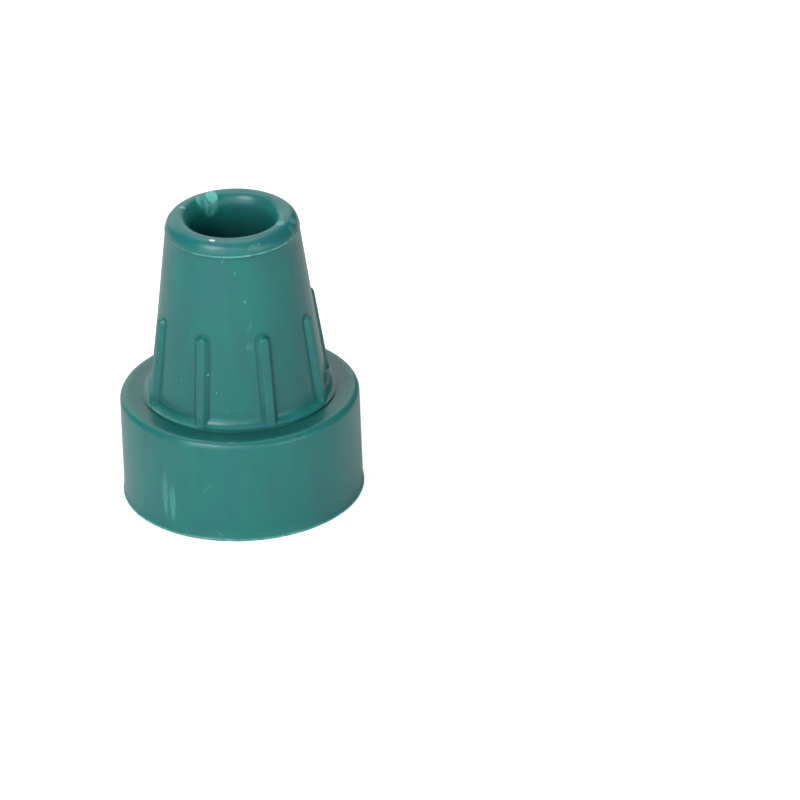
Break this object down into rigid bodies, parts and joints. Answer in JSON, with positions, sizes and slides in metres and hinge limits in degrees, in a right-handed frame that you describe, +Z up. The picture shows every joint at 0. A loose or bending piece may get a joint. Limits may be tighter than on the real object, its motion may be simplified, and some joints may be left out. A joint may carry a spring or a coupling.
{
  "type": "rubber cane tip",
  "caption": "Moulded rubber foot for a walking cane: round socket in a tapered, ribbed neck over a wide collar with a dished, grooved sole.",
  "frame": {"origin": "on the socket's axis, at the level of the ground that the sole's outer ring touches", "axes": "+Z up the cane; the gap between two ribs faces -Y, which is the front in the picture"},
  "size_m": [0.0458, 0.0458, 0.0575],
  "materials": {
    "rubber": "satin moulded rubber"
  },
  "bodies": {
    "root": {"rubber_tip": "rubber"}
  },
  "joints": []
}
